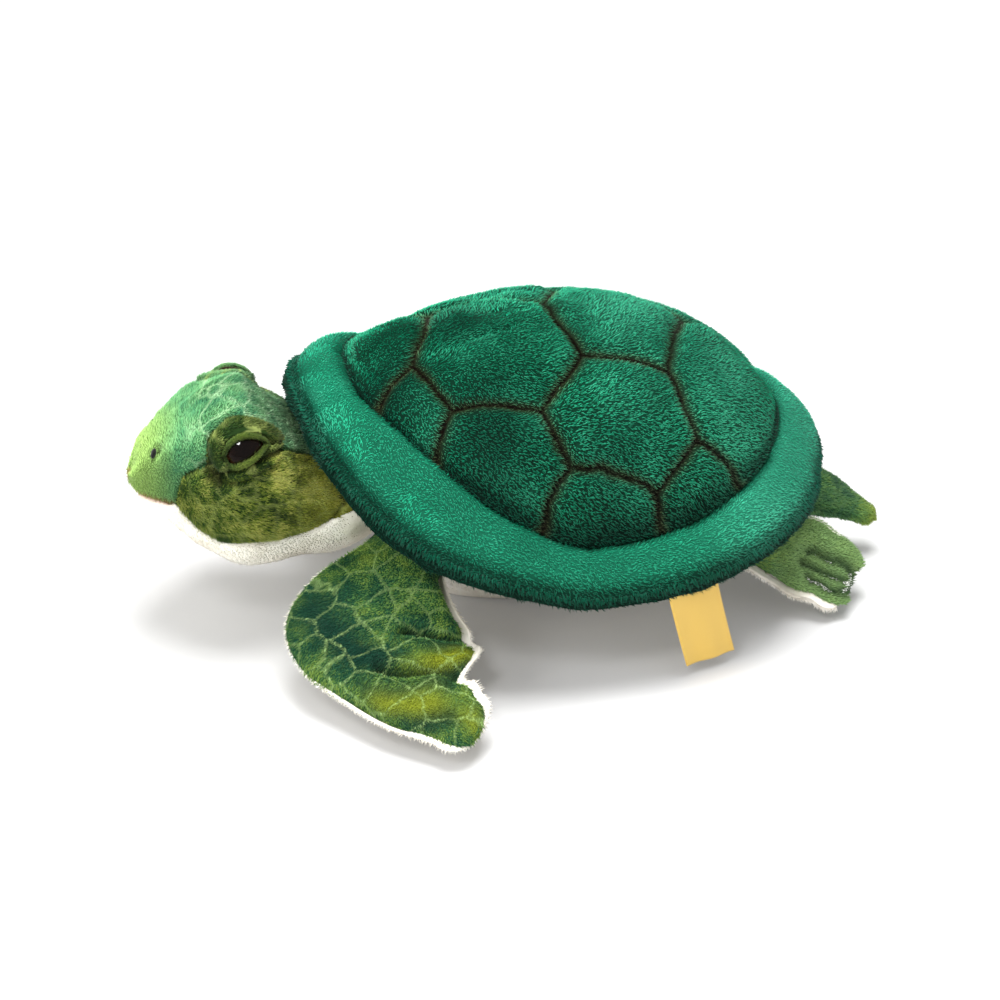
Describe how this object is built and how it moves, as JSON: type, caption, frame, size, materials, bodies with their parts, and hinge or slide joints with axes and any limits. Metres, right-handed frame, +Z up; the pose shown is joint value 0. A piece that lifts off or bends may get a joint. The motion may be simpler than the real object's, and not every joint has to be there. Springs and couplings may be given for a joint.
{
  "type": "plush turtle",
  "caption": "Plush sea turtle lying on its belly: domed shell with a padded brim, nodding head with plastic eyes, and flippers, tail and care label that move on their seams.",
  "frame": {"origin": "middle of the flat of the belly that rests on the ground, under the middle of the shell", "axes": "-Y is the way the turtle faces, +X is its left side, +Z is up"},
  "size_m": [0.2546, 0.2945, 0.119],
  "materials": {
    "shell_plush": "short emerald pile on knitted backing, matt with soft sheen",
    "crown_plush": "short light green pile, printed with pale scale lines",
    "cheek_plush": "short olive pile, printed",
    "flipper_plush": "short mid green pile, printed with a pale net",
    "white_plush": "short off-white pile",
    "polyester_filling": "loose fluffy fibre",
    "eye_plastic": "polished, glossy black with a brown rim",
    "washer_plastic": "moulded",
    "nostril_thread": "satin stitched",
    "label_satin": "woven satin, cut edges"
  },
  "bodies": {
    "trunk": {"carapace_panel": "shell_plush", "belly_panel": "white_plush", "body_stuffing": "polyester_filling", "shell_rim": "shell_plush"},
    "head": {"head_crown": "crown_plush", "head_chin": "white_plush", "head_cheek_left": "cheek_plush", "head_cheek_right": "cheek_plush", "head_stuffing": "polyester_filling", "eye_left": "eye_plastic", "eye_washer_left": "washer_plastic", "upper_eyelid_left": "cheek_plush", "lower_eyelid_left": "cheek_plush", "nostril_left": "nostril_thread", "eye_right": "eye_plastic", "eye_washer_right": "washer_plastic", "upper_eyelid_right": "cheek_plush", "lower_eyelid_right": "cheek_plush", "nostril_right": "nostril_thread"},
    "tail": {"tail_top_panel": "flipper_plush", "tail_underside_panel": "flipper_plush", "tail_stuffing": "polyester_filling"},
    "label": {"label": "label_satin"},
    "front_flipper_left": {"front_flipper_left_top_panel": "flipper_plush", "front_flipper_left_underside_panel": "white_plush", "front_flipper_left_stuffing": "polyester_filling"},
    "front_flipper_right": {"front_flipper_right_top_panel": "flipper_plush", "front_flipper_right_underside_panel": "white_plush", "front_flipper_right_stuffing": "polyester_filling"},
    "rear_flipper_left": {"rear_flipper_left_top_panel": "flipper_plush", "rear_flipper_left_underside_panel": "white_plush", "rear_flipper_left_stuffing": "polyester_filling"},
    "rear_flipper_right": {"rear_flipper_right_top_panel": "flipper_plush", "rear_flipper_right_underside_panel": "white_plush", "rear_flipper_right_stuffing": "polyester_filling"}
  },
  "joints": [
    {"name": "head_nod", "type": "hinge", "parent": "trunk", "child": "head", "pos_m": [0, -0.092, 0.053], "axis": [1, 0, 0], "range_deg": [-1, 25], "stiffness_Nm_per_rad": 0.6},
    {"name": "front_flipper_left_flap", "type": "hinge", "parent": "trunk", "child": "front_flipper_left", "pos_m": [0.02867, -0.05561, 0.03938], "axis": [0.6144, 0.7708, -0.1685], "range_deg": [-20, 15], "stiffness_Nm_per_rad": 0.08},
    {"name": "rear_flipper_left_flap", "type": "hinge", "parent": "trunk", "child": "rear_flipper_left", "pos_m": [0.0238, 0.06333, 0.02928], "axis": [-0.778, 0.4987, 0.3822], "range_deg": [-28, 12], "stiffness_Nm_per_rad": 0.04},
    {"name": "front_flipper_right_flap", "type": "hinge", "parent": "trunk", "child": "front_flipper_right", "pos_m": [-0.02867, -0.05561, 0.03938], "axis": [0.6144, -0.7708, 0.1685], "range_deg": [-20, 15], "stiffness_Nm_per_rad": 0.08},
    {"name": "rear_flipper_right_flap", "type": "hinge", "parent": "trunk", "child": "rear_flipper_right", "pos_m": [-0.0238, 0.06333, 0.02928], "axis": [-0.778, -0.4987, -0.3822], "range_deg": [-28, 12], "stiffness_Nm_per_rad": 0.04},
    {"name": "tail_bend", "type": "hinge", "parent": "trunk", "child": "tail", "pos_m": [0, 0.07642, 0.04186], "axis": [-1, 0, 0], "range_deg": [-9, 20], "stiffness_Nm_per_rad": 0.04},
    {"name": "label_swing", "type": "hinge", "parent": "trunk", "child": "label", "pos_m": [0.08107, 0.03978, 0.03354], "axis": [0.3584, -0.9336, 0], "range_deg": [-20, 60]}
  ]
}
